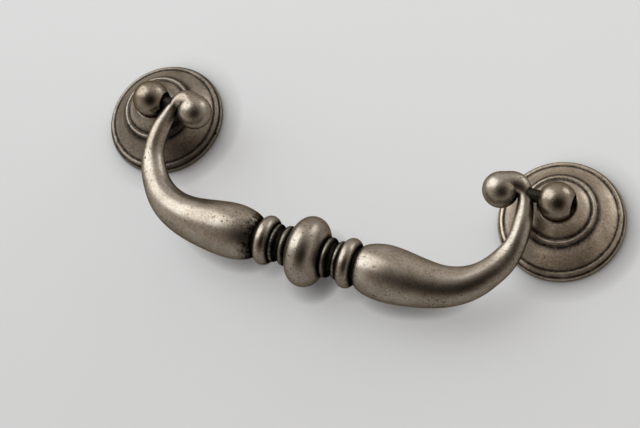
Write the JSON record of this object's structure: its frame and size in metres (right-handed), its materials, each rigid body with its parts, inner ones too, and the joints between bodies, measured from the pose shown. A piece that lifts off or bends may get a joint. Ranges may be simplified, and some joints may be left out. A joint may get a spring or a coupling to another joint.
{
  "type": "drop pull",
  "caption": "Cast drop pull for a drawer or cabinet front: a swan-neck bail with a beaded grip swings on pins between ball posts set in stepped round rosettes.",
  "frame": {"origin": "midway between the mounting screw holes, on the plane of the rosettes' backs, which lie on the drawer front", "axes": "+X along the line of the screw holes, +Z out of the drawer front, and the bail hangs towards -Y"},
  "size_m": [0.1232, 0.0454, 0.0163],
  "materials": {
    "bail_metal": "satin antique pewter plating with dark patina in the recesses",
    "rosette_metal": "satin antique pewter plating, slightly mottled",
    "post_metal": "polished antique pewter plating"
  },
  "bodies": {
    "base": {"rosette_left": "rosette_metal", "rosette_right": "rosette_metal", "post_left": "post_metal", "post_right": "post_metal"},
    "bail": {"bail_handle": "bail_metal"}
  },
  "joints": [
    {"name": "bail_swing", "type": "hinge", "parent": "base", "child": "bail", "pos_m": [0, 0, 0.0115], "axis": [-1, 0, 0], "range_deg": [-1.6, 195.8]}
  ]
}
